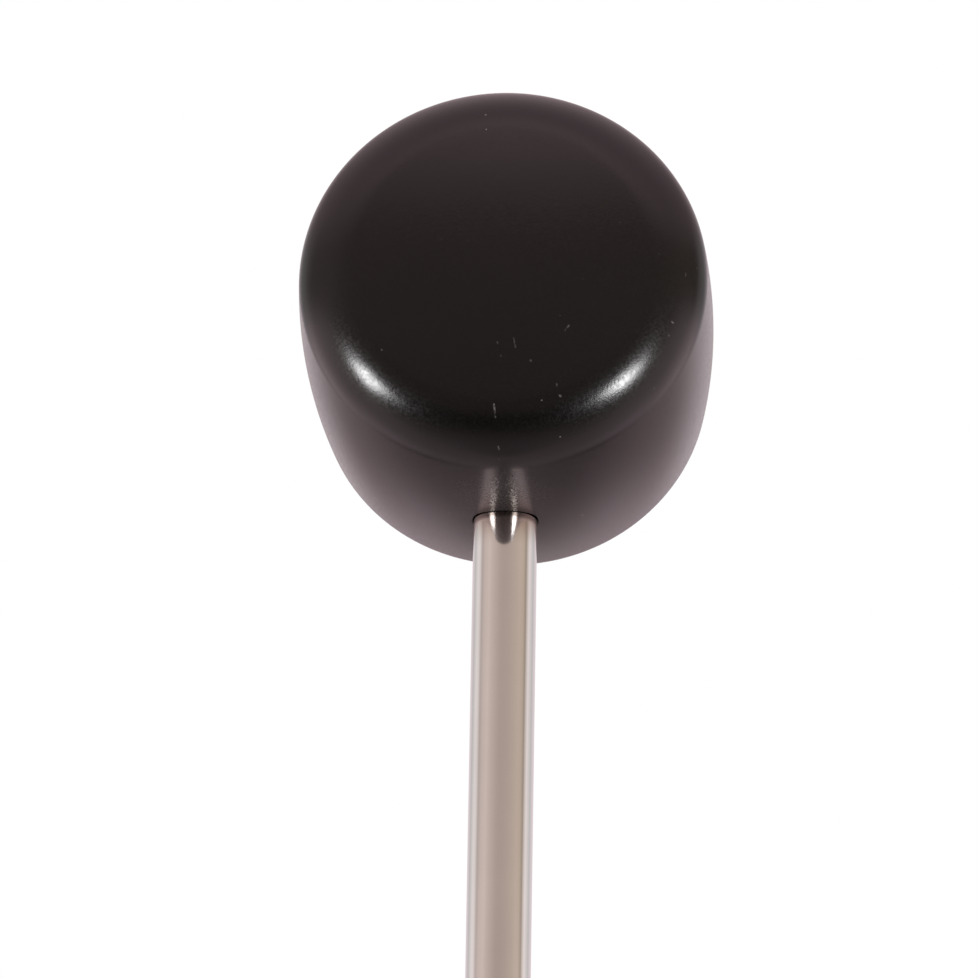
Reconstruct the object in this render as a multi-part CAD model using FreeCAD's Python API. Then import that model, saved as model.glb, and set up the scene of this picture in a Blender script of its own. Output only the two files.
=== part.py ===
import FreeCAD, Part
import math
import os

# Bass drum beater, in millimetres. The shaft stands along Z with the pedal's grip at the origin.
# The head lies along Y, with its bare striking face towards -Y and its felt pad towards +Y.

# Shaft: a plain round rod, turned down inside the head and threaded at its top
shaft_d = 8.0
shaft_bevel = 0.8
grip_to_lower_end = 25.0
grip_to_head_axis = 170.0
neck_step = 0.2
neck_inside_mouth = 0.1
shoulder_above_mouth = 7.0
thread_d = 6.0
thread_bevel = 0.7
thread_past_nut = 1.0

# Head: a moulded cup with a flat face, closed behind by a cap that holds the pad
head_d = 52.0
head_length = 46.0
front_round = 8.0
taper_length = 8.4
taper_drop = 0.7
side_wall = 3.0
face_wall = 5.0
shaft_hole_play = 0.4

# Rear cap, which goes on from the cup at the seam and slopes in towards the rear, and felt pad
seam_to_rear = 5.6
cap_slope_angle = 26.0
seam_width = 0.25
seam_depth = 0.6
skirt_play = 0.1
cap_floor = 2.5
pad_rim = 6.0
pad_play = 0.2
pad_thickness = 10.0
pad_proud = 3.5

# Hub: a square post across the head, and a barrel that backs the striking face and the cap
hub_wall = 2.5
hub_play = 0.1
bore_play = 0.06
barrel_d = 18.0

# Fasteners: flat washers, a split spring washer and a hexagon nut on the shaft's thread
washer_d = 12.0
washer_thickness = 1.6
washer_play = 0.2
spring_play = 0.1
spring_width = 2.5
spring_thickness = 1.6
spring_slit = 1.0
spring_slit_angle = 20.0
nut_sides = 6
nut_across_flats = 10.0
nut_height = 5.0
nut_thread_play = 0.05
nut_below_top = 1.0
spanner_room = 1.5
seat_room = 0.5
turning_play = 0.05

# Worked out from the sizes above, with the head's axis at height zero until the pieces are placed
head_r = head_d / 2
front_y = -head_length / 2
rear_y = head_length / 2
inner_r = head_r - side_wall
face_back_y = front_y + face_wall

seam_r = head_r - taper_drop
seam_y = rear_y - seam_to_rear
pad_r = head_r - pad_rim
pad_rear_y = rear_y + pad_proud
pad_floor_y = pad_rear_y - pad_thickness
cap_front_y = pad_floor_y - cap_floor

mouth_z = -head_r
shoulder_z = mouth_z + shoulder_above_mouth
lower_seat_z = shoulder_z + washer_thickness
nut_top_z = head_r - nut_below_top
nut_bottom_z = nut_top_z - nut_height
spring_bottom_z = nut_bottom_z - spring_thickness
upper_seat_z = spring_bottom_z - washer_thickness

shaft_r = shaft_d / 2
thread_r = thread_d / 2
washer_r = washer_d / 2
spring_inner_r = thread_r + spring_play
spring_r = spring_inner_r + spring_width
nut_corner_r = nut_across_flats / 2 / math.cos(math.pi / nut_sides)
well_r = max(washer_r, spring_r, nut_corner_r) + spanner_room

axis_x = FreeCAD.Vector(1, 0, 0)
axis_y = FreeCAD.Vector(0, 1, 0)
axis_z = FreeCAD.Vector(0, 0, 1)
centre = FreeCAD.Vector(0, 0, 0)
head_place = FreeCAD.Vector(0, 0, grip_to_head_axis)


def along_y(radius, start, end):
    return Part.makeCylinder(radius, end - start, FreeCAD.Vector(0, start, 0), axis_y)


def along_z(radius, start, end):
    return Part.makeCylinder(radius, end - start, FreeCAD.Vector(0, 0, start), axis_z)


def on_head(radius, y):
    # a point of a profile that turns about the head's axis
    return FreeCAD.Vector(radius, y, 0)


def turned(points, axis):
    wire = Part.makePolygon(points + points[:1])
    return Part.Face(wire).revolve(centre, axis, 360)


def make_shaft():
    low_z = -grip_to_head_axis - grip_to_lower_end
    top_z = nut_top_z + thread_past_nut
    neck_r = shaft_r - neck_step
    neck_z = mouth_z + neck_inside_mouth
    outline = [
        (0, low_z),
        (shaft_r - shaft_bevel, low_z),
        (shaft_r, low_z + shaft_bevel),
        (shaft_r, neck_z),
        (neck_r, neck_z),
        (neck_r, shoulder_z),
        (thread_r, shoulder_z),
        (thread_r, top_z - thread_bevel),
        (thread_r - thread_bevel, top_z),
        (0, top_z),
    ]
    return turned([FreeCAD.Vector(r, 0, z) for r, z in outline], axis_z)


def make_head_shell():
    # half of the rim's arc is a turn of an eighth of a circle
    half_way = front_round * (1 - math.cos(math.pi / 4))
    face_edge = on_head(head_r - front_round, front_y)
    wall_start = on_head(head_r, front_y + front_round)
    rim = Part.Arc(face_edge, on_head(head_r - half_way, front_y + half_way), wall_start).toShape()
    straight = [
        wall_start,
        on_head(head_r, seam_y - taper_length),
        on_head(seam_r, seam_y),
        on_head(inner_r, seam_y),
        on_head(inner_r, face_back_y),
        on_head(0, face_back_y),
        on_head(0, front_y),
        face_edge,
    ]
    outline = Part.Wire([rim] + Part.makePolygon(straight).Edges)
    cup = Part.Face(outline).revolve(centre, axis_y, 360)
    cup = cup.cut(along_z(shaft_r + shaft_hole_play, -head_d, 0))
    return cup.cut(along_z(well_r, 0, head_d))


def make_rear_cap():
    slope = math.tan(math.radians(cap_slope_angle))
    skirt_r = inner_r - skirt_play
    pocket_r = pad_r + pad_play
    outline = [
        (0, cap_front_y),
        (skirt_r, cap_front_y),
        (skirt_r, seam_y),
        (seam_r - seam_depth, seam_y),
        (seam_r - seam_width * slope, seam_y + seam_width),
        (seam_r - (rear_y - seam_y) * slope, rear_y),
        (pocket_r, rear_y),
        (pocket_r, pad_floor_y),
        (0, pad_floor_y),
    ]
    return turned([on_head(r, y) for r, y in outline], axis_y)


def make_felt_pad():
    return along_y(pad_r, pad_floor_y, pad_rear_y)


def make_hub():
    front = face_back_y + hub_play
    rear = cap_front_y - hub_play
    post_width = 2 * (well_r + hub_wall)
    hub = Part.makeBox(post_width, post_width, head_d)
    hub.translate(FreeCAD.Vector(-post_width / 2, -post_width / 2, -head_r))
    hub = hub.fuse(along_y(barrel_d / 2, front, rear))
    hub = hub.common(along_y(inner_r - hub_play, front, rear))
    hub = hub.cut(along_z(thread_r + bore_play, -head_r, head_r))
    hub = hub.cut(along_z(well_r, upper_seat_z - turning_play, head_r))
    hub = hub.cut(along_z(washer_r + seat_room, -head_r, lower_seat_z + turning_play))
    return hub.removeSplitter()


def make_washer(bottom_z):
    ring = along_z(washer_r, bottom_z, bottom_z + washer_thickness)
    return ring.cut(along_z(thread_r + washer_play, bottom_z, bottom_z + washer_thickness))


def make_spring_washer():
    ring = along_z(spring_r, spring_bottom_z, nut_bottom_z)
    ring = ring.cut(along_z(spring_inner_r, spring_bottom_z, nut_bottom_z))
    slit = Part.makeBox(spring_r, spring_slit, 4 * spring_thickness)
    slit.translate(FreeCAD.Vector(0, -spring_slit / 2, spring_bottom_z - 1.5 * spring_thickness))
    middle = FreeCAD.Vector(0, 0, spring_bottom_z + spring_thickness / 2)
    slit.rotate(middle, axis_x, spring_slit_angle)
    return ring.cut(slit)


def make_nut():
    corners = []
    for k in range(nut_sides):
        turn = 2 * math.pi * k / nut_sides
        corners.append(FreeCAD.Vector(nut_corner_r * math.cos(turn), nut_corner_r * math.sin(turn), nut_bottom_z))
    hexagon = Part.Face(Part.makePolygon(corners + corners[:1])).extrude(axis_z * nut_height)
    return hexagon.cut(along_z(thread_r + nut_thread_play, nut_bottom_z, nut_top_z))


pieces = {
    "shaft": make_shaft(),
    "head_shell": make_head_shell(),
    "hub": make_hub(),
    "rear_cap": make_rear_cap(),
    "felt_pad": make_felt_pad(),
    "seat_washer": make_washer(shoulder_z),
    "top_washer": make_washer(upper_seat_z),
    "spring_washer": make_spring_washer(),
    "top_nut": make_nut(),
}

os.makedirs("parts", exist_ok=True)
for name, shape in pieces.items():
    shape.translate(head_place)
    shape.exportStep("parts/" + name + ".step")
    print(name, "solids", len(shape.Solids), "valid", shape.isValid(), "volume", round(shape.Volume, 1))
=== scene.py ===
import math
import random

import bmesh
import bpy
from mathutils import Matrix, Vector, geometry, noise


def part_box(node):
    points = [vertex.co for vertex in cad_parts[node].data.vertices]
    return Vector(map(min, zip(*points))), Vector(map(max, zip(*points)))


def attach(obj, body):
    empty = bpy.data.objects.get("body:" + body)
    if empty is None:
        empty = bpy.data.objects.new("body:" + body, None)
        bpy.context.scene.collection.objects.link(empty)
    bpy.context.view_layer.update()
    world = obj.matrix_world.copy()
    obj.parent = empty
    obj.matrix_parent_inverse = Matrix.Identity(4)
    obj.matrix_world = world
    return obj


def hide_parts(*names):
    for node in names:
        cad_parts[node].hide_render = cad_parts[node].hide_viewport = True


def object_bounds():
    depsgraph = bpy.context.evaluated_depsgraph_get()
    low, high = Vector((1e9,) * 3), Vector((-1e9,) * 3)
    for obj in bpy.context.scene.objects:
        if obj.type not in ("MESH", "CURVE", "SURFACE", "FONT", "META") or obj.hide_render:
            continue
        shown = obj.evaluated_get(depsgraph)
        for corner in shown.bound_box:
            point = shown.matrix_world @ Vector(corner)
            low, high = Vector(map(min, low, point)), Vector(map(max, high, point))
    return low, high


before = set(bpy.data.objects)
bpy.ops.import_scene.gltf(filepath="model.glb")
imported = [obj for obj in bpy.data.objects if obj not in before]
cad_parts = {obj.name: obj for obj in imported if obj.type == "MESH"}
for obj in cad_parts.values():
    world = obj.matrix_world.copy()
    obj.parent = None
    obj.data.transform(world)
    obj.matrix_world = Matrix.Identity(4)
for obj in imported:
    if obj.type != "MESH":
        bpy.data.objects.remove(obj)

cadLow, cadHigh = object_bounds()
scene = bpy.context.scene

# the head lies along Y, and the rod stands along Z below it
shellLow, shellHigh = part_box("head_shell")
headCentre = Vector((0, 0, (shellLow.z + shellHigh.z) / 2))
headRadius = (shellHigh.x - shellLow.x) / 2
mouthZ = headCentre.z - headRadius      # where the rod goes into the head
alongY = Vector((0, 1, 0))
alongZ = Vector((0, 0, 1))
fullTurn = 2 * math.pi
metre = 1000                            # in millimetres, for the listed marks
print("frame loaded, head radius", round(headRadius, 4))


# small helpers for meshes

meshing = {"mergeDistance": 1e-7, "outlineSegments": 6, "edgeSegments": 4, "sharp": 35}


def turn(bm, steps, axis, centre):
    bmesh.ops.spin(bm, geom=bm.verts[:] + bm.edges[:], cent=centre, axis=axis, dvec=(0, 0, 0),
                   angle=fullTurn, steps=steps, use_merge=True)
    bmesh.ops.remove_doubles(bm, verts=bm.verts[:], dist=meshing["mergeDistance"])
    bmesh.ops.recalc_face_normals(bm, faces=bm.faces[:])


def joinInLine(bm, verts):
    for first, second in zip(verts, verts[1:]):
        bm.edges.new((first, second))


def roundCorners(bm, verts, size, segments):
    bmesh.ops.bevel(bm, geom=verts, offset=size, offset_type="OFFSET", affect="VERTICES",
                    segments=segments, profile=0.5, material=-1)


def drawOutline(bm, corners, place):
    # corners are (radius, along, rounding), and place turns radius and along into a point
    verts = [bm.verts.new(place(radius, along)) for radius, along, _ in corners]
    joinInLine(bm, verts)
    for vert, (_, _, rounding) in zip(verts, corners):
        if rounding:
            roundCorners(bm, [vert], rounding, meshing["outlineSegments"])


def onHead(radius, along):
    return headCentre + Vector((radius, along, 0))


def onRod(radius, along):
    return Vector((radius, 0, along))


def openEdges(bm):
    return [edge for edge in bm.edges if edge.is_boundary]


def vertsOf(items):
    return [item for item in items if isinstance(item, bmesh.types.BMVert)]


def edgesOf(items):
    return [item for item in items if isinstance(item, bmesh.types.BMEdge)]


def showMesh(name, mesh, material, body):
    piece = bpy.data.objects.new(name, mesh)
    scene.collection.objects.link(piece)
    mesh.materials.clear()
    mesh.materials.append(material)
    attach(piece, body)
    return piece


def addPiece(name, bm, material, body, sharp=meshing["sharp"]):
    mesh = bpy.data.meshes.new(name)
    bm.to_mesh(mesh)
    bm.free()
    mesh.shade_smooth()
    mesh.set_sharp_from_angle(angle=math.radians(sharp))
    return showMesh(name, mesh, material, body)


# small helpers for shader nodes

def put(tree, kind, inputs=None, **settings):
    made = tree.nodes.new(kind)
    for key, value in settings.items():
        setattr(made, key, value)
    for key, value in (inputs or {}).items():
        if isinstance(value, bpy.types.NodeSocket):
            tree.links.new(value, made.inputs[key])
        else:
            made.inputs[key].default_value = value
    return made


def calc(tree, operation, *values, clamp=False):
    made = put(tree, "ShaderNodeMath", dict(enumerate(values)), operation=operation, use_clamp=clamp)
    return made.outputs[0]


def addUp(tree, start, *parts):
    # start plus each pattern times its amount
    total = start
    for pattern, amount in parts:
        total = calc(tree, "MULTIPLY_ADD", pattern, amount, total)
    return total


def vectorMath(tree, operation, inputs, output="Vector"):
    return put(tree, "ShaderNodeVectorMath", inputs, operation=operation).outputs[output]


def between(tree, value, low, high, kind="LINEAR"):
    made = put(tree, "ShaderNodeMapRange", {"Value": value, "From Min": low, "From Max": high},
               interpolation_type=kind)
    return made.outputs[0]


def blendColour(tree, share, first, second):
    ends = [end if isinstance(end, bpy.types.NodeSocket) else (*end, 1) for end in (first, second)]
    made = put(tree, "ShaderNodeMix", {0: share, 6: ends[0], 7: ends[1]}, data_type="RGBA")
    return made.outputs[2]


def ramp(tree, value, stops):
    made = put(tree, "ShaderNodeValToRGB", {0: value})
    bar = made.color_ramp
    while len(bar.elements) < len(stops):
        bar.elements.new(0.5)
    for element, (position, colour) in zip(bar.elements, stops):
        element.position = position
        element.color = (*colour, 1)
    return made.outputs[0]


def noiseAt(tree, vector, scale, detail, roughness=0.5, distortion=0):
    made = put(tree, "ShaderNodeTexNoise", {"Vector": vector, "Scale": scale, "Detail": detail,
                                            "Roughness": roughness, "Distortion": distortion})
    return made.outputs[0]


def stretched(tree, vector, turnDegrees, scale):
    angles = [math.radians(angle) for angle in turnDegrees]
    made = put(tree, "ShaderNodeMapping", {"Vector": vector, "Rotation": angles, "Scale": scale})
    return made.outputs[0]


def newMaterial(name):
    material = bpy.data.materials.new(name)
    material.use_nodes = True
    tree = material.node_tree
    tree.nodes.clear()
    shader = put(tree, "ShaderNodeBsdfPrincipled")
    out = put(tree, "ShaderNodeOutputMaterial", {"Surface": shader.outputs[0]})
    out.is_active_output = True
    place = put(tree, "ShaderNodeTexCoord").outputs["Object"]
    return material, tree, shader, place


def coat(tree, shader, colour, rough, height, strength, distance):
    # a finish's colour, roughness and relief
    bump = put(tree, "ShaderNodeBump", {"Height": height, "Strength": strength, "Distance": distance})
    for label, socket in (("Base Color", colour), ("Roughness", rough), ("Normal", bump.outputs[0])):
        tree.links.new(socket, shader.inputs[label])


# marks on a finish, as node groups
markShape = {"smallestFleck": 0.25, "faintestFleck": 0.2, "fleckEdge": 2.5, "strokeEdge": 2}


def newMaskGroup(name, inputs):
    group = bpy.data.node_groups.new(name, "ShaderNodeTree")
    for label, kind in inputs.items():
        group.interface.new_socket(label, in_out="INPUT", socket_type=kind)
    group.interface.new_socket("Mask", in_out="OUTPUT", socket_type="NodeSocketFloat")
    return group, put(group, "NodeGroupInput").outputs


def makeFlecks():
    # scattered marks: one in some cells of a cell pattern, each of its own size
    group, start = newMaskGroup("flecks", {"Vector": "NodeSocketVector", "Scale": "NodeSocketFloat",
                                           "Size": "NodeSocketFloat", "Share": "NodeSocketFloat"})
    cells = put(group, "ShaderNodeTexVoronoi", {"Vector": start["Vector"], "Scale": start["Scale"]},
                feature="F1")
    dice = put(group, "ShaderNodeSeparateColor", {0: cells.outputs["Color"]}).outputs
    smallest = markShape["smallestFleck"]
    faintest = markShape["faintestFleck"]
    size = calc(group, "MULTIPLY", start["Size"], addUp(group, smallest, (dice[1], 1 - smallest)))
    depth = calc(group, "DIVIDE", calc(group, "SUBTRACT", size, cells.outputs["Distance"]), size)
    mark = calc(group, "MULTIPLY", depth, markShape["fleckEdge"], clamp=True)
    chosen = calc(group, "LESS_THAN", dice[0], start["Share"])
    strength = addUp(group, faintest, (dice[2], 1 - faintest))
    mask = calc(group, "MULTIPLY", calc(group, "MULTIPLY", mark, chosen), strength)
    put(group, "NodeGroupOutput", {"Mask": mask})
    return group


def makeStroke():
    # one scratch or speck: everything near a short line, fading at its sides
    group, start = newMaskGroup("stroke", {"Vector": "NodeSocketVector", "Start": "NodeSocketVector",
                                           "Way": "NodeSocketVector", "Width": "NodeSocketFloat",
                                           "Strength": "NodeSocketFloat"})
    away = vectorMath(group, "SUBTRACT", {0: start["Vector"], 1: start["Start"]})
    along = vectorMath(group, "DOT_PRODUCT", {0: away, 1: start["Way"]}, "Value")
    whole = vectorMath(group, "DOT_PRODUCT", {0: start["Way"], 1: start["Way"]}, "Value")
    part = calc(group, "DIVIDE", along, whole, clamp=True)
    nearest = vectorMath(group, "SCALE", {0: start["Way"], "Scale": part})
    gap = vectorMath(group, "LENGTH", {0: vectorMath(group, "SUBTRACT", {0: away, 1: nearest})}, "Value")
    share = calc(group, "SUBTRACT", 1, calc(group, "DIVIDE", gap, start["Width"]), clamp=True)
    mark = calc(group, "MULTIPLY", share, markShape["strokeEdge"], clamp=True)
    put(group, "NodeGroupOutput", {"Mask": calc(group, "MULTIPLY", mark, start["Strength"])})
    return group


flecks = makeFlecks()
stroke = makeStroke()


def fleckMask(tree, vector, scale, size, share):
    made = put(tree, "ShaderNodeGroup", {"Vector": vector, "Scale": scale, "Size": size, "Share": share},
               node_tree=flecks)
    return made.outputs["Mask"]


def strokeMask(tree, vector, start, end, width, strength):
    first, last = (headCentre + Vector(point) / metre for point in (start, end))
    made = put(tree, "ShaderNodeGroup", {"Vector": vector, "Start": first, "Way": last - first,
                                         "Width": width / metre, "Strength": strength}, node_tree=stroke)
    return made.outputs["Mask"]


# finishes: a pattern is its scale, detail and, in some, roughness and distortion, and a relief is its
# strength and depth

headFinish = {
    "black": (0.0008, 0.0005, 0.0005),
    "blackWorn": (0.0016, 0.0011, 0.0011),
    "cloud": (75, 4),
    "index": 1.41,
    "roughness": 0.21,
    "roughnessSwing": 0.04,
    "speckle": (3000, 1),     # unevenness of the gloss, seen in the highlights
    "speckleSwing": 0.21,
    "grain": (4300, 2),
    "grainRelief": (0.09, 0.0001),
    "film": 0.12,             # thin film of dust, seen at a slant
    "filmRoughness": 0.35,
    "filmTint": (1.0, 0.78, 0.81),
    "dust": (0.22, 0.20, 0.19),
    "dustCover": 0.8,
    "markRoughness": 0.3,
    # scattered flecks: cells to a metre, and size as a share of a cell
    "dots": (420, 0.06),
    "lint": (430, 0.05),
    "lintTurn": (20, 35, 50),
    "lintStretch": (1, 1, 0.22),
    "fleckShare": 0.3,
    "fleckStrength": 0.5,
    # scratches and specks: start, end and width in millimetres from the head's middle, then strength
    "strokes": [
        ((1.75, -22.7, -10.5), (1.95, -22.6, -11.7), 0.13, 0.20),
        ((8.0, -22.6, -9.5), (8.5, -22.6, -8.8), 0.15, 0.24),
        ((21.24, -20.5, -7.5), (21.29, -20.5, -7.5), 0.24, 0.65),
        ((20.78, -20.4, -9.2), (20.80, -20.3, -9.3), 0.14, 0.25),
        ((-0.26, -22.7, -11.0), (-0.22, -22.7, -11.3), 0.16, 0.14),
        ((0.16, -22.6, -12.7), (0.23, -22.5, -12.9), 0.16, 0.14),
        ((3.84, -22.5, -13.4), (3.89, -22.5, -13.5), 0.20, 0.22),
        ((7.07, -22.1, -16.4), (7.13, -22.1, -16.7), 0.16, 0.2),
        ((7.52, -21.9, -17.8), (7.57, -21.9, -17.9), 0.22, 0.60),
        ((-0.59, -21.9, -19.0), (-0.38, -21.5, -20.7), 0.14, 0.5),
        ((18.77, -18.6, -15.6), (19.09, -18.6, -15.1), 0.20, 0.35),
        ((-0.09, -19.5, -23.6), (0.03, -19.2, -23.9), 0.18, 0.3),
        ((1.31, -16.6, -25.2), (1.78, -16.2, -25.3), 0.20, 0.60),
        ((-14.5, -22.0, -11.7), (-14.5, -22.0, -11.8), 0.18, 0.22),
    ],
    "fray": (2600, 3),
    "frayEdges": (0.38, 0.62),
    # scuffs where the rod was pushed home, in millimetres from the head's middle
    "scuffMiddle": (0.3, -9.0, -25.9),
    "scuffReach": (7.5, 3.0),
    "scuffStrength": 0.22,
    "scuffRoughness": 0.06,
    "rubbed": (1500, 5, 0.65),
    "rubTurn": (0, 0, 15),
    "rubStretch": (1, 0.3, 1),
    "rubEdges": (0.62, 0.78),
}


def makeHeadPlastic():
    finish = headFinish
    material, tree, shader, place = newMaterial("headPlastic")
    cloud = noiseAt(tree, place, *finish["cloud"])
    speckle = noiseAt(tree, place, *finish["speckle"])
    grain = noiseAt(tree, place, *finish["grain"])

    dots = fleckMask(tree, place, *finish["dots"], finish["fleckShare"])
    lintWay = stretched(tree, place, finish["lintTurn"], finish["lintStretch"])
    lint = fleckMask(tree, lintWay, *finish["lint"], finish["fleckShare"])
    marks = calc(tree, "MULTIPLY", calc(tree, "MAXIMUM", dots, lint), finish["fleckStrength"])
    strokes = 0.0
    for mark in finish["strokes"]:
        strokes = calc(tree, "MAXIMUM", strokes, strokeMask(tree, place, *mark))
    fray = between(tree, noiseAt(tree, place, *finish["fray"]), *finish["frayEdges"])
    marks = calc(tree, "MAXIMUM", marks, calc(tree, "MULTIPLY", strokes, fray))

    scuffPlace = headCentre + Vector(finish["scuffMiddle"]) / metre
    away = vectorMath(tree, "DISTANCE", {0: place, 1: scuffPlace}, "Value")
    near = between(tree, away, *(reach / metre for reach in finish["scuffReach"]))
    rubWay = stretched(tree, place, finish["rubTurn"], finish["rubStretch"])
    rubbed = between(tree, noiseAt(tree, rubWay, *finish["rubbed"]), *finish["rubEdges"])
    scuff = calc(tree, "MULTIPLY", rubbed, near)
    marks = calc(tree, "MAXIMUM", marks, calc(tree, "MULTIPLY", scuff, finish["scuffStrength"]))

    black = blendColour(tree, cloud, finish["black"], finish["blackWorn"])
    colour = blendColour(tree, calc(tree, "MULTIPLY", marks, finish["dustCover"]), black, finish["dust"])
    swings = finish["roughnessSwing"] + finish["speckleSwing"]
    rough = addUp(tree, finish["roughness"] - swings / 2, (cloud, finish["roughnessSwing"]),
                  (marks, finish["markRoughness"]), (near, finish["scuffRoughness"]),
                  (speckle, finish["speckleSwing"]))
    rough = calc(tree, "MAXIMUM", rough, finish["roughness"] / 2)
    coat(tree, shader, colour, rough, grain, *finish["grainRelief"])
    shader.inputs["IOR"].default_value = finish["index"]
    shader.inputs["Sheen Tint"].default_value = (*finish["filmTint"], 1)
    shader.inputs["Sheen Weight"].default_value = finish["film"]
    shader.inputs["Sheen Roughness"].default_value = finish["filmRoughness"]
    return material


chromeFinish = {
    "light": (0.89, 0.875, 0.86),
    "dull": (0.82, 0.80, 0.785),
    "roughness": 0.075,
    "smear": (140, 4),
    "smearSwing": 0.05,
    "drawn": (2600, 3),               # fine lines along the rod
    "drawnStretch": (1, 1, 0.03),
    "drawnSwing": 0.02,
    "drawnRelief": (0.02, 0.0001),
    "mouthTint": (0.46, 0.36, 0.31),      # browner towards the mouth, over the rod's last few millimetres below the head
    "mouthTintReach": 0.0045,
    "mouthTintRoughness": 0.13,
    "mouthTintLeast": 0.4,
    "mouthTintSwing": 0.8,
    "ring": (0.09, 0.07, 0.06),       # painted shade: dark ring on the rod close to the mouth, where the gap casts shadow
    "shadeRingReach": (0.0009, 0.0003),
    "shadeRingCover": 0.75,
}


def makeChrome():
    finish = chromeFinish
    material, tree, shader, place = newMaterial("chromePlate")
    drawn = noiseAt(tree, stretched(tree, place, (0, 0, 0), finish["drawnStretch"]), *finish["drawn"])
    smear = noiseAt(tree, place, *finish["smear"])
    colour = blendColour(tree, smear, finish["light"], finish["dull"])
    swings = finish["drawnSwing"] + finish["smearSwing"]
    rough = addUp(tree, finish["roughness"] - swings / 2, (drawn, finish["drawnSwing"]),
                  (smear, finish["smearSwing"]))

    height = put(tree, "ShaderNodeSeparateXYZ", {0: place}).outputs[2]
    # the rod turns browner and rougher in patches over its last few millimetres below the mouth
    mouthTinted = between(tree, height, mouthZ - finish["mouthTintReach"], mouthZ, "SMOOTHSTEP")
    patches = addUp(tree, finish["mouthTintLeast"], (smear, finish["mouthTintSwing"]))
    mouthTinted = calc(tree, "MULTIPLY", mouthTinted, patches, clamp=True)
    colour = blendColour(tree, mouthTinted, colour, finish["mouthTint"])
    rough = addUp(tree, rough, (mouthTinted, finish["mouthTintRoughness"]))
    # painted shade: the rod is darkened in a thin ring just below the mouth
    shadeRing = between(tree, height, *(mouthZ - reach for reach in finish["shadeRingReach"]), "SMOOTHSTEP")
    colour = blendColour(tree, calc(tree, "MULTIPLY", shadeRing, finish["shadeRingCover"]), colour, finish["ring"])
    coat(tree, shader, colour, rough, drawn, *finish["drawnRelief"])
    shader.inputs["Metallic"].default_value = 1
    return material


zincFinish = {"bright": (0.62, 0.63, 0.65), "grey": (0.46, 0.47, 0.48), "cloud": (420, 5),
              "fine": (6000, 2), "fineRelief": (0.1, 0.0001), "roughness": 0.28, "roughnessSwing": 0.2}


def makeZinc():
    finish = zincFinish
    material, tree, shader, place = newMaterial("zincPlate")
    cloud = noiseAt(tree, place, *finish["cloud"])
    colour = blendColour(tree, cloud, finish["bright"], finish["grey"])
    swing = finish["roughnessSwing"]
    rough = addUp(tree, finish["roughness"] - swing / 2, (cloud, swing))
    coat(tree, shader, colour, rough, noiseAt(tree, place, *finish["fine"]), *finish["fineRelief"])
    shader.inputs["Metallic"].default_value = 1
    return material


coreFinish = {"dark": (0.020, 0.020, 0.021), "light": (0.034, 0.034, 0.036), "cloud": (300, 4),
              "cloudRelief": (0.1, 0.0002), "roughness": 0.555, "roughnessSwing": 0.15}


def makeCore():
    finish = coreFinish
    material, tree, shader, place = newMaterial("corePlastic")
    cloud = noiseAt(tree, place, *finish["cloud"])
    colour = blendColour(tree, cloud, finish["dark"], finish["light"])
    swing = finish["roughnessSwing"]
    rough = addUp(tree, finish["roughness"] - swing / 2, (cloud, swing))
    coat(tree, shader, colour, rough, cloud, *finish["cloudRelief"])
    return material


feltFinish = {
    "wool": (0.60, 0.575, 0.535),
    "shade": (0.43, 0.41, 0.375),
    "hair": (0.70, 0.68, 0.64),
    "mottle": (210, 5, 0.6),
    "fibre": (900, 4, 0.5, 3.5),          # bent lines, where the noise is close to its middle
    "fibreEdges": (0.42, 0.50, 0.58),
    "fibreCover": 0.35,
    "fibreHeight": 0.5,
    "relief": (0.6, 0.0004),
    "roughness": 0.92,
    "roughnessSwing": 0.1,
    "sheen": 0.35,
    "sheenRoughness": 0.5,
    "specular": 0.15,
}


def makeFelt():
    finish = feltFinish
    material, tree, shader, place = newMaterial("woolFelt")
    mottle = noiseAt(tree, place, *finish["mottle"])
    stops = zip(finish["fibreEdges"], ((0, 0, 0), (1, 1, 1), (0, 0, 0)))
    fibres = ramp(tree, noiseAt(tree, place, *finish["fibre"]), list(stops))
    colour = blendColour(tree, mottle, finish["wool"], finish["shade"])
    colour = blendColour(tree, calc(tree, "MULTIPLY", fibres, finish["fibreCover"]), colour, finish["hair"])
    height = addUp(tree, mottle, (fibres, finish["fibreHeight"]))
    swing = finish["roughnessSwing"]
    rough = addUp(tree, finish["roughness"] - swing / 2, (mottle, swing))
    coat(tree, shader, colour, rough, height, *finish["relief"])
    shader.inputs["Sheen Weight"].default_value = finish["sheen"]
    shader.inputs["Sheen Roughness"].default_value = finish["sheenRoughness"]
    shader.inputs["Specular IOR Level"].default_value = finish["specular"]
    return material


headPlastic = makeHeadPlastic()
chrome = makeChrome()
zinc = makeZinc()
core = makeCore()
felt = makeFelt()


def dress(node, material):
    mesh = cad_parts[node].data
    mesh.materials.clear()
    mesh.materials.append(material)


dress("hub", core)
dress("seat_washer", zinc)
print("finishes made")


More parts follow.
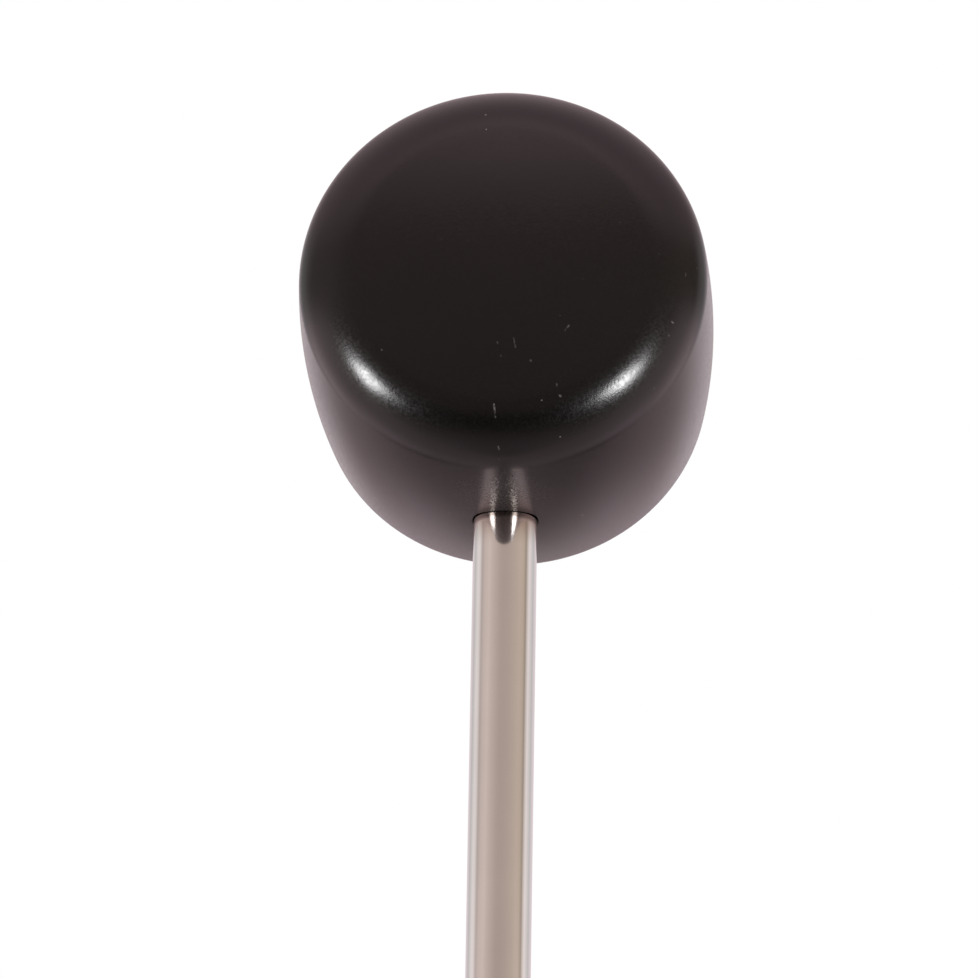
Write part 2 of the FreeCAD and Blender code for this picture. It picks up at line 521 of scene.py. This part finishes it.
# head shell: a moulded cup with a slightly domed face and a wall that bulges a little
seamY = shellHigh.y
head = {
    "crown": 0.165,      # radius of the face's dome
    "crownSteps": 14,
    "shoulder": 0.010,   # wide round that leaves the face
    "shoulderSteps": 14,
    "shoulderTurn": 45,  # where the shoulder gives way to the rim
    "rim": 0.0045,       # closer round that meets the wall
    "rimSteps": 10,
    "bulge": 0.1866,     # radius of the wall's arc along the head
    "bulgeSteps": 52,
    "widest": -0.0021,   # where along the head it is widest
    "inner": 0.023,
    "innerCuts": 40,
    "faceWall": 0.005,
    "steps": 256,
    "seamEdge": 0.0002,
    "lip": 0.00014,      # round at the holes' edges
    "lipSteps": 5,
    "lipMargin": 1.25,
    "holeCuts": 6,
    "rodHole": {"side": -1, "radius": 0.00411, "reach": 0.0085},
    "nutWell": {"side": 1, "radius": 0.0075, "reach": 0.0120},
    # what tells the wall's outer skin from its inner one, as shares of the inner radius
    "outerSkin": (1.03, math.inf),
    "innerSkin": (0.8, 1.01),
    "innerReach": 0.9,   # the inner patch is a little smaller than the outer one
}


def wallRadius(along):
    return headRadius - head["bulge"] + math.sqrt(head["bulge"] ** 2 - (along - head["widest"]) ** 2)


def onWall(vert, side, radius):
    # lifts or lowers a point to the round of the given radius
    vert.co.z = headCentre.z + side * math.sqrt(radius ** 2 - vert.co.x ** 2)


def sweepArc(bm, vert, middle, angle, steps):
    made = bmesh.ops.spin(bm, geom=[vert], cent=onHead(middle.x, middle.y), axis=alongZ, dvec=(0, 0, 0),
                          angle=angle, steps=steps)
    return vertsOf(made["geom_last"])[0]


def drawShell(bm):
    # four arcs that flow into each other: face, shoulder, rim and wall
    faceMiddle = Vector((0, shellLow.y + head["crown"]))
    wallMiddle = Vector((headRadius - head["bulge"], head["widest"]))
    shoulderTurn = math.radians(head["shoulderTurn"])
    shift = Vector((math.sin(shoulderTurn), -math.cos(shoulderTurn))) * (head["shoulder"] - head["rim"])
    meetings = geometry.intersect_sphere_sphere_2d(wallMiddle, head["bulge"] - head["rim"],
                                                   faceMiddle + shift, head["crown"] - head["shoulder"])
    rimMiddle = max(meetings, key=lambda point: point.x)
    shoulderMiddle = rimMiddle - shift
    faceTurn = math.atan2(shoulderMiddle.x, faceMiddle.y - shoulderMiddle.y)
    wallTurn = math.atan2(rimMiddle.y - wallMiddle.y, rimMiddle.x - wallMiddle.x)
    seamTurn = math.asin((seamY - wallMiddle.y) / head["bulge"])
    vert = bm.verts.new(onHead(0, shellLow.y))
    vert = sweepArc(bm, vert, faceMiddle, faceTurn, head["crownSteps"])
    vert = sweepArc(bm, vert, shoulderMiddle, shoulderTurn - faceTurn, head["shoulderSteps"])
    vert = sweepArc(bm, vert, rimMiddle, wallTurn + math.pi / 2 - shoulderTurn, head["rimSteps"])
    seamVert = sweepArc(bm, vert, wallMiddle, seamTurn - wallTurn, head["bulgeSteps"])

    floorY = shellLow.y + head["faceWall"]
    inside = [bm.verts.new(onHead(radius, along)) for radius, along in
              ((head["inner"], seamY), (head["inner"], floorY), (0, floorY))]
    joinInLine(bm, [seamVert] + inside)
    roundCorners(bm, [seamVert], head["seamEdge"], meshing["edgeSegments"])
    innerEdge = max(bm.edges, key=lambda edge: abs(edge.verts[0].co.y - edge.verts[1].co.y))
    bmesh.ops.subdivide_edges(bm, edges=[innerEdge], cuts=head["innerCuts"])


def cutPatch(bm, side, reach, skin):
    # takes out one skin's faces round a hole and gives back the edges left open
    near, far = (share * head["inner"] for share in skin)
    patch = []
    for face in bm.faces:
        middle = face.calc_center_median() - headCentre
        if abs(middle.x) < reach and abs(middle.y) < reach and near < middle.z * side < far:
            patch.append(face)
    bmesh.ops.delete(bm, geom=patch, context="FACES")
    return openEdges(bm)


def openHole(bm, hole):
    side, radius, lip = hole["side"], hole["radius"], head["lip"]
    outerEdges = cutPatch(bm, side, hole["reach"], head["outerSkin"])
    ring = bmesh.ops.create_circle(bm, segments=len(outerEdges), radius=radius + lip * head["lipMargin"],
                                   matrix=Matrix.Translation(headCentre))["verts"]
    for vert in ring:
        onWall(vert, side, wallRadius(vert.co.y))
    ringEdges = [edge for edge in bm.edges if edge.is_wire]
    bridge = bmesh.ops.bridge_loops(bm, edges=outerEdges + ringEdges)
    fine = bmesh.ops.subdivide_edges(bm, edges=bridge["edges"], cuts=head["holeCuts"])
    for vert in vertsOf(fine["geom_inner"]):
        onWall(vert, side, wallRadius(vert.co.y))

    # the lip turns in a quarter round, and a last step goes down to the inner skin
    ringEdges = openEdges(bm)
    for step in range(head["lipSteps"] + 2):
        made = bmesh.ops.extrude_edge_only(bm, edges=ringEdges)["geom"]
        ringEdges = edgesOf(made)
        angle = math.pi / 2 * min(1, step / head["lipSteps"])
        for vert in vertsOf(made):
            outward = Vector((vert.co.x, vert.co.y, 0)).normalized()
            vert.co.xy = (outward * (radius + lip)).xy
            onWall(vert, side, wallRadius(vert.co.y))
            vert.co.z -= side * lip * (1 - math.cos(angle))
            vert.co.xy = (outward * (radius + lip * (1 - math.sin(angle)))).xy
            if step > head["lipSteps"]:
                onWall(vert, side, head["inner"])
    bothEdges = cutPatch(bm, side, hole["reach"] * head["innerReach"], head["innerSkin"])
    bmesh.ops.bridge_loops(bm, edges=bothEdges)


def makeHeadShell():
    bm = bmesh.new()
    drawShell(bm)
    turn(bm, head["steps"], alongY, headCentre)
    openHole(bm, head["rodHole"])
    openHole(bm, head["nutWell"])
    bmesh.ops.recalc_face_normals(bm, faces=bm.faces[:])
    piece = addPiece("headShell", bm, headPlastic, "head")
    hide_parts("head_shell")


makeHeadShell()
print("head shell made")


# rear cap: the moulded ring behind the seam that holds the pad
capLow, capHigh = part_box("rear_cap")
padLow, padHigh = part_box("felt_pad")
padRadius = (padHigh.x - padLow.x) / 2
cap = {"slope": 27, "skirtPlay": 0.0001, "seamGap": 0.00022, "seamDepth": 0.0008, "seamEdge": 0.0002,
       "step": 0.0002, "corner": 0.0012, "pocketEdge": 0.0005, "pocketPlay": 0.0002, "steps": 192}


def makeRearCap():
    skirt = head["inner"] - cap["skirtPlay"]
    edge = wallRadius(seamY) - cap["step"]
    land = edge - (capHigh.y - seamY) * math.tan(math.radians(cap["slope"]))
    pocket = padRadius + cap["pocketPlay"]
    bm = bmesh.new()
    drawOutline(bm, [
        (0, capLow.y, 0),
        (skirt, capLow.y, 0),
        (skirt, seamY, 0),
        (edge - cap["seamDepth"], seamY, 0),
        (edge, seamY + cap["seamGap"], cap["seamEdge"]),
        (land, capHigh.y, cap["corner"]),
        (pocket, capHigh.y, cap["pocketEdge"]),
        (pocket, padLow.y, 0),
        (0, padLow.y, 0),
    ], onHead)
    turn(bm, cap["steps"], alongY, headCentre)
    piece = addPiece("rearCap", bm, headPlastic, "head")
    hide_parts("rear_cap")


makeRearCap()
print("rear cap made")


# felt pad: a pressed disc with a soft edge and a slight crown
pad = {"crown": 0.0007, "edge": 0.0024, "cuts": 26, "steps": 180, "sharp": 80,
       "lump": 0.00012, "lumpScale": 650, "lumpNoise": (0.8, 2.0, 3), "lumpRise": 0.004}


def makePad():
    bm = bmesh.new()
    drawOutline(bm, [
        (0, padHigh.y, 0),
        (padRadius, padHigh.y - pad["crown"], pad["edge"]),
        (padRadius, padLow.y, 0),
        (0, padLow.y, 0),
    ], onHead)
    longEdges = [edge for edge in bm.edges if edge.calc_length() > pad["edge"]]
    bmesh.ops.subdivide_edges(bm, edges=longEdges, cuts=pad["cuts"])
    turn(bm, pad["steps"], alongY, headCentre)
    for vert in bm.verts:
        lump = noise.fractal(vert.co * pad["lumpScale"], *pad["lumpNoise"])
        shown = min(1, max(0, (vert.co.y - padLow.y) / pad["lumpRise"]))
        vert.co += vert.normal * lump * pad["lump"] * shown
    piece = addPiece("feltPad", bm, felt, "head", sharp=pad["sharp"])
    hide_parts("felt_pad")


# loose hairs on the pad, which start upright and drift off to a side
hairs = {"number": 3600, "seed": 7, "radius": 0.000011, "length": (0.0004, 0.0011), "parts": 3,
         "root": 0.00012, "onEdge": 0.55, "upright": 0.42, "uprightLoss": 0.14, "drift": 0.5,
         "driftGain": 0.3}


def makePadHairs():
    dice = random.Random(hairs["seed"])
    curve = bpy.data.curves.new("feltHairs", "CURVE")
    curve.dimensions = "3D"
    curve.bevel_depth = hairs["radius"]
    curve.bevel_resolution = 0
    curve.resolution_u = 2
    shoulder = padRadius - pad["edge"]
    shoulderY = padHigh.y - pad["crown"] - pad["edge"]
    for _ in range(hairs["number"]):
        spot = dice.uniform(0, fullTurn)
        outward = Vector((math.cos(spot), 0, math.sin(spot)))
        if dice.random() < hairs["onEdge"]:
            lean = dice.uniform(0, math.pi / 2)
            normal = alongY * math.cos(lean) + outward * math.sin(lean)
            root = headCentre + outward * shoulder + alongY * shoulderY + normal * pad["edge"]
        else:
            radius = shoulder * math.sqrt(dice.random())
            normal = alongY.copy()
            root = headCentre + outward * radius + alongY * (padHigh.y - pad["crown"] * radius / padRadius)
        drift = Vector([dice.gauss(0, 1) for _ in range(3)]).normalized()
        length = dice.uniform(*hairs["length"])
        spline = curve.splines.new("POLY")
        spline.points.add(hairs["parts"])
        spot = root - normal * hairs["root"]
        for number, point in enumerate(spline.points):
            point.co = (*spot, 1)
            upright = hairs["upright"] - hairs["uprightLoss"] * number
            aside = hairs["drift"] + hairs["driftGain"] * number
            way = normal * upright + drift * aside
            spot = spot + way.normalized() * length / hairs["parts"]
    holder = bpy.data.objects.new("feltHairsCurve", curve)
    mesh = bpy.data.meshes.new_from_object(holder)
    mesh.name = "feltHairs"
    bpy.data.objects.remove(holder)
    bpy.data.curves.remove(curve)
    mesh.shade_smooth()
    showMesh("feltHairs", mesh, felt, "head")


makePad()
makePadHairs()
print("felt pad made")


# rod: plain chromed bar, turned down inside the head, with a core for the thread at its top
rodLow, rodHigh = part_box("shaft")
rodRadius = (rodHigh.x - rodLow.x) / 2
rod = {"bevel": 0.0008, "bevelEdge": 0.0002, "neck": 0.0002, "neckAt": 0.0001, "shoulderAt": 0.007,
       "stemRadius": 0.003, "coreRadius": 0.00244, "threadLength": 0.012, "runOut": 0.0005,
       "endBevel": 0.0006, "endEdge": 0.0002, "steps": 128}


def makeRod():
    neckZ = mouthZ + rod["neckAt"]
    shoulderZ = mouthZ + rod["shoulderAt"]
    threadZ = rodHigh.z - rod["threadLength"]
    neckRadius = rodRadius - rod["neck"]
    stem = rod["stemRadius"]
    inner = rod["coreRadius"]
    bm = bmesh.new()
    drawOutline(bm, [
        (0, rodLow.z, 0),
        (rodRadius - rod["bevel"], rodLow.z, rod["bevelEdge"]),
        (rodRadius, rodLow.z + rod["bevel"], rod["bevelEdge"]),
        (rodRadius, neckZ, 0),
        (neckRadius, neckZ, 0),
        (neckRadius, shoulderZ, 0),
        (stem, shoulderZ, 0),
        (stem, threadZ, 0),
        (inner, threadZ + rod["runOut"], 0),
        (inner, rodHigh.z - rod["endBevel"], 0),
        (inner - rod["endBevel"], rodHigh.z, rod["endEdge"]),
        (0, rodHigh.z, 0),
    ], onRod)
    turn(bm, rod["steps"], alongZ, (0, 0, 0))
    piece = addPiece("rod", bm, chrome, "shaft")
    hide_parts("shaft")


# thread: a ridge wound round the rod's core
thread = {"pitch": 0.001, "crest": 0.00006, "root": 0.00044, "sunk": 0.00004, "startsAt": 0.0004,
          "plain": 0.0016, "steps": 40}


def makeThread():
    turns = round((rod["threadLength"] - thread["plain"]) / thread["pitch"])
    middle = rodHigh.z - rod["threadLength"] + thread["startsAt"]
    foot = rod["coreRadius"] - thread["sunk"]
    top = rod["stemRadius"]
    bm = bmesh.new()
    root = thread["root"]
    crest = thread["crest"]
    corners = [(foot, -root), (top, -crest), (top, crest), (foot, root)]
    section = [bm.verts.new(onRod(radius, middle + height)) for radius, height in corners]
    joinInLine(bm, section + section[:1])
    bmesh.ops.spin(bm, geom=bm.verts[:] + bm.edges[:], cent=(0, 0, 0), axis=alongZ, angle=fullTurn * turns,
                   dvec=(0, 0, thread["pitch"] / thread["steps"]), steps=turns * thread["steps"])
    bmesh.ops.holes_fill(bm, edges=openEdges(bm), sides=len(section))
    bmesh.ops.recalc_face_normals(bm, faces=bm.faces[:])
    addPiece("rodThread", bm, zinc, "shaft")


makeRod()
makeThread()
print("rod made")


# nut in the well, with its corners turned off
nutLow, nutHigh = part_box("top_nut")
nut = {"sides": 6, "flat": (nutHigh.y - nutLow.y) / 2, "bore": 0.00302, "boreBevel": 0.00035, "face": 0.94,
       "slope": 30, "steps": 96, "sharp": 20}


def makeNut():
    low, high, bore, bevel = nutLow.z, nutHigh.z, nut["bore"], nut["boreBevel"]
    topFace = nut["flat"] * nut["face"]
    half = math.pi / nut["sides"]

    def section(angle):
        # from the bore's lower edge out round the nut to its upper edge
        corner = nut["flat"] / math.cos((angle % (2 * half)) - half)
        drop = (corner - topFace) * math.tan(math.radians(nut["slope"]))
        return [(bore, low + bevel), (bore + bevel, low), (topFace, low), (corner, low + drop),
                (corner, high - drop), (topFace, high), (bore + bevel, high), (bore, high - bevel)]

    bm = bmesh.new()
    bmesh.ops.create_circle(bm, segments=nut["steps"], radius=bore)
    ringEdges = bm.edges[:]
    ringVerts = bm.verts[:]
    for number in range(len(section(0))):
        if number:
            made = bmesh.ops.extrude_edge_only(bm, edges=ringEdges)["geom"]
            ringEdges = edgesOf(made)
            ringVerts = vertsOf(made)
        for vert in ringVerts:
            angle = math.atan2(vert.co.y, vert.co.x)
            radius, height = section(angle)[number]
            vert.co = (radius * math.cos(angle), radius * math.sin(angle), height)
    bmesh.ops.bridge_loops(bm, edges=openEdges(bm))
    bmesh.ops.recalc_face_normals(bm, faces=bm.faces[:])
    piece = addPiece("topNut", bm, zinc, "shaft", sharp=nut["sharp"])
    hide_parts("top_nut")


# washers under the nut, one flat and one split
washer = {"hole": 0.0032, "edge": 0.00018, "steps": 128}


def drawRing(bm, inner, outer, low, high, edge):
    corners = [bm.verts.new(onRod(radius, along)) for radius, along in
               ((inner, low), (outer, low), (outer, high), (inner, high))]
    joinInLine(bm, corners + corners[:1])
    roundCorners(bm, corners, edge, meshing["edgeSegments"])


def makeTopWasher():
    low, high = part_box("top_washer")
    bm = bmesh.new()
    drawRing(bm, washer["hole"], high.x, low.z, high.z, washer["edge"])
    turn(bm, washer["steps"], alongZ, (0, 0, 0))
    piece = addPiece("topWasher", bm, zinc, "shaft")
    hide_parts("top_washer")


spring = {"hole": 0.0031, "edge": 0.0002, "gap": 12, "slant": 20, "steps": 112}


def makeSpringWasher():
    low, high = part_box("spring_washer")
    outer = (high.y - low.y) / 2
    bm = bmesh.new()
    drawRing(bm, spring["hole"], outer, low.z, high.z, spring["edge"])
    start = math.radians(spring["gap"] / 2)
    bmesh.ops.rotate(bm, verts=bm.verts[:], cent=(0, 0, 0), matrix=Matrix.Rotation(start, 3, "Z"))
    bmesh.ops.spin(bm, geom=bm.verts[:] + bm.edges[:], cent=(0, 0, 0), axis=alongZ, dvec=(0, 0, 0),
                   angle=fullTurn - 2 * start, steps=spring["steps"])
    bmesh.ops.holes_fill(bm, edges=openEdges(bm), sides=0)
    lean = math.tan(math.radians(spring["slant"])) / outer
    for vert in bm.verts:
        vert.co = Matrix.Rotation((vert.co.z - low.z) * lean, 3, "Z") @ vert.co     # the slit leans
    bmesh.ops.recalc_face_normals(bm, faces=bm.faces[:])
    piece = addPiece("springWasher", bm, zinc, "shaft")
    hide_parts("spring_washer")


makeNut()
makeTopWasher()
makeSpringWasher()
print("nut and washers made")


# floor at the rod's lower end, seen from above only
floorSettings = {"radius": 4.0, "below": 0.0002, "steps": 128, "colour": (0.82, 0.81, 0.80),
                 "shade": (0.7, 0.69, 0.68), "shadeShare": 0.05, "paper": (40, 3), "roughness": 0.9,
                 "specular": 0.1, "fade": (0.10, 0.70)}


def makeFloor():
    bm = bmesh.new()
    level = Matrix.Translation((0, 0, cadLow.z - floorSettings["below"]))
    bmesh.ops.create_circle(bm, cap_ends=True, segments=floorSettings["steps"],
                            radius=floorSettings["radius"], matrix=level)
    mesh = bpy.data.meshes.new("floor")
    bm.to_mesh(mesh)
    bm.free()
    floor = bpy.data.objects.new("floor", mesh)
    scene.collection.objects.link(floor)
    material, tree, shader, place = newMaterial("paleFloor")
    paper = noiseAt(tree, place, *floorSettings["paper"])
    shading = calc(tree, "MULTIPLY", paper, floorSettings["shadeShare"])
    colour = blendColour(tree, shading, floorSettings["colour"], floorSettings["shade"])
    tree.links.new(colour, shader.inputs["Base Color"])
    shader.inputs["Roughness"].default_value = floorSettings["roughness"]
    shader.inputs["Specular IOR Level"].default_value = floorSettings["specular"]
    away = vectorMath(tree, "LENGTH", {0: place}, "Value")
    fade = between(tree, away, *floorSettings["fade"], "SMOOTHSTEP")
    seen = put(tree, "ShaderNodeLightPath").outputs["Is Camera Ray"]
    white = put(tree, "ShaderNodeEmission", {"Color": (1, 1, 1, 1), "Strength": 1})
    share = calc(tree, "MULTIPLY", fade, seen)
    pale = put(tree, "ShaderNodeMixShader", {0: share, 1: shader.outputs[0], 2: white.outputs[0]})
    clear = put(tree, "ShaderNodeBsdfTransparent")
    under = put(tree, "ShaderNodeNewGeometry").outputs["Backfacing"]
    both = put(tree, "ShaderNodeMixShader", {0: under, 1: pale.outputs[0], 2: clear.outputs[0]})
    out = next(node for node in tree.nodes if node.type == "OUTPUT_MATERIAL")
    tree.links.new(both.outputs[0], out.inputs["Surface"])
    mesh.materials.append(material)
    floor.visible_glossy = False


makeFloor()


# world: white to the camera, and round the object a white sweep behind and a warm room in front
room = {
    # colours from behind the head, 0, to in front of it, 1
    "left": [(0.0, (0.78, 0.68, 0.71)), (0.08, (0.75, 0.66, 0.69)), (0.18, (0.56, 0.54, 0.545)),
             (0.35, (0.80, 0.75, 0.74)), (0.45, (0.75, 0.68, 0.665)), (0.54, (0.485, 0.41, 0.39)),
             (0.65, (0.60, 0.505, 0.47)), (0.80, (0.655, 0.55, 0.50)), (0.96, (0.515, 0.42, 0.38)),
             (1.0, (0.45, 0.367, 0.33))],
    "right": [(0.0, (0.78, 0.68, 0.71)), (0.08, (0.75, 0.66, 0.69)), (0.18, (0.57, 0.555, 0.565)),
              (0.375, (0.84, 0.765, 0.755)), (0.46, (0.62, 0.55, 0.515)), (0.525, (0.36, 0.295, 0.245)),
              (0.625, (0.53, 0.435, 0.36)), (0.725, (0.55, 0.45, 0.38)), (0.90, (0.495, 0.405, 0.35)),
              (1.0, (0.45, 0.367, 0.33))],
    "horizon": [(0.0, (0.96, 0.785, 0.83)), (0.02, (0.76, 0.605, 0.65)), (0.03, (0.52, 0.40, 0.43)),
                (0.04, (0.39, 0.295, 0.31)), (0.05, (0.34, 0.255, 0.265)), (0.065, (0.36, 0.275, 0.285)),
                (0.08, (0.53, 0.41, 0.435)), (0.10, (0.74, 0.58, 0.615)), (0.15, (1.26, 1.00, 1.06)),
                (0.22, (1.80, 1.43, 1.51)), (0.35, (2.15, 1.72, 1.78)), (0.55, (1.95, 1.56, 1.60)),
                (0.70, (1.35, 1.08, 1.09)), (0.83, (0.55, 0.44, 0.43)), (1.0, (0.27, 0.22, 0.205))],
    "low": [(0.0, (0.18, 0.135, 0.14)), (0.05, (0.20, 0.15, 0.155)), (0.07, (0.34, 0.26, 0.27)),
            (0.10, (0.58, 0.45, 0.475)), (0.15, (1.02, 0.80, 0.85)), (0.22, (1.40, 1.11, 1.18)),
            (0.35, (1.65, 1.32, 1.37)), (0.55, (1.62, 1.30, 1.33)), (0.70, (1.38, 1.10, 1.11)),
            (0.77, (1.00, 0.80, 0.80)), (0.84, (0.40, 0.32, 0.315)), (0.90, (0.18, 0.145, 0.14)),
            (1.0, (0.06, 0.05, 0.047))],
    "ground": [(0.0, (0.95, 0.75, 0.78)), (0.82, (0.95, 0.75, 0.78)), (1.0, (0.58, 0.46, 0.47))],
    "ceiling": [(0.0, (0.65, 0.50, 0.53)), (0.5, (0.80, 0.605, 0.64)), (0.8, (0.98, 0.73, 0.765)),
                (0.93, (1.22, 0.90, 0.94)), (0.975, (1.42, 1.05, 1.095)), (1.0, (1.74, 1.285, 1.335))],
    "zenith": (1.0, 0.76, 0.81),
    "softLow": (0.70, 0.70, 0.70),       # plain light for everything that isn't a mirror image
    "softHigh": (1.05, 1.05, 1.05),
    # where one colour gives way to the next, from straight down, -1, to straight up, 1
    "toHorizon": (-0.38, -0.10),
    "toWalls": (0.02, 0.31),
    "toGround": (-0.45, -0.95),
    "toCeiling": (0.485, 0.605),
    "toZenith": (0.70, 0.97),
    "toSoftHigh": (-0.6, 0.8),
    "toRight": (-0.15, 0.15),            # the same from left to right
    "leastFlat": 0.001,                  # keeps the division safe straight up and down
}


def makeWorld():
    world = bpy.data.worlds.new("studio")
    scene.world = world
    world.use_nodes = True
    tree = world.node_tree
    tree.nodes.clear()
    way = put(tree, "ShaderNodeTexCoord").outputs["Generated"]
    across, along, height = put(tree, "ShaderNodeSeparateXYZ", {0: way}).outputs
    flat = calc(tree, "SQRT", calc(tree, "ADD", calc(tree, "MULTIPLY", across, across),
                                   calc(tree, "MULTIPLY", along, along)))
    towards = calc(tree, "DIVIDE", along, calc(tree, "MAXIMUM", flat, room["leastFlat"]))
    share = addUp(tree, 0.5, (towards, -0.5))

    def band(name):
        return ramp(tree, share, room[name])

    def step(name, value=height, kind="SMOOTHSTEP"):
        return between(tree, value, *room[name], kind)

    walls = blendColour(tree, step("toRight", across), band("left"), band("right"))
    colour = blendColour(tree, step("toHorizon"), band("low"), band("horizon"))
    colour = blendColour(tree, step("toWalls"), colour, walls)
    colour = blendColour(tree, step("toGround"), colour, band("ground"))
    colour = blendColour(tree, step("toCeiling", kind="LINEAR"), colour, band("ceiling"))
    colour = blendColour(tree, step("toZenith"), colour, room["zenith"])
    soft = blendColour(tree, step("toSoftHigh"), room["softLow"], room["softHigh"])
    path = put(tree, "ShaderNodeLightPath").outputs
    colour = blendColour(tree, path["Is Glossy Ray"], soft, colour)
    colour = blendColour(tree, path["Is Camera Ray"], colour, (1, 1, 1))
    back = put(tree, "ShaderNodeBackground", {"Color": colour, "Strength": 1})
    put(tree, "ShaderNodeOutputWorld", {"Surface": back.outputs[0]})


makeWorld()
print("floor and room made")


def direction(azimuth, elevation):
    # degrees round from the front and up from level
    turned, raised = math.radians(azimuth), math.radians(elevation)
    return Vector((math.sin(turned) * math.cos(raised), -math.cos(turned) * math.cos(raised),
                   math.sin(raised)))


# lamps: two soft boxes low in front, placed by their direction from the head
lamps = {
    "left": {"azimuth": -48.0, "elevation": -14.2, "size": (0.094, 0.074), "power": 0.050},
    "right": {"azimuth": 38.3, "elevation": -15.4, "size": (0.090, 0.068), "power": 0.047},
    "away": 0.40,
    "spread": 40,
}


def makeLamp(name):
    settings = lamps[name]
    data = bpy.data.lights.new(name, "AREA")
    data.shape = "RECTANGLE"
    data.size, data.size_y = settings["size"]
    data.energy = settings["power"]
    data.spread = math.radians(lamps["spread"])
    lamp = bpy.data.objects.new(name, data)
    way = direction(settings["azimuth"], settings["elevation"])
    lamp.location = headCentre + way * lamps["away"]
    lamp.rotation_mode = "QUATERNION"
    lamp.rotation_quaternion = (-way).to_track_quat("-Z", "Y")
    lamp.visible_camera = False
    scene.collection.objects.link(lamp)


makeLamp("left")
makeLamp("right")


# camera: below the head's axis, a little to the right, with a long lens
cameraSettings = {"azimuth": 2.89, "elevation": -21.79, "roll": 0.99, "away": 0.8, "lens": 234.57,
                  "sensor": 36, "clipStart": 0.01, "aimAcross": -0.00212, "aimUp": -0.02146}


def makeCamera():
    azimuth = math.radians(cameraSettings["azimuth"])
    roll = math.radians(cameraSettings["roll"])
    back = direction(cameraSettings["azimuth"], cameraSettings["elevation"])
    across = Vector((math.cos(azimuth), math.sin(azimuth), 0))
    up = back.cross(across)
    tiltedAcross = math.cos(roll) * across + math.sin(roll) * up
    tiltedUp = math.cos(roll) * up - math.sin(roll) * across
    aim = headCentre + across * cameraSettings["aimAcross"] + alongZ * cameraSettings["aimUp"]
    data = bpy.data.cameras.new("camera")
    data.lens = cameraSettings["lens"]
    data.sensor_width = cameraSettings["sensor"]
    data.clip_start = cameraSettings["clipStart"]
    camera = bpy.data.objects.new("camera", data)
    stand = Matrix((tiltedAcross, tiltedUp, back)).transposed().to_4x4()
    stand.translation = aim + back * cameraSettings["away"]
    camera.matrix_world = stand
    scene.collection.objects.link(camera)
    scene.camera = camera


makeCamera()
scene.view_settings.view_transform = "Standard"
print("lamps and camera placed")
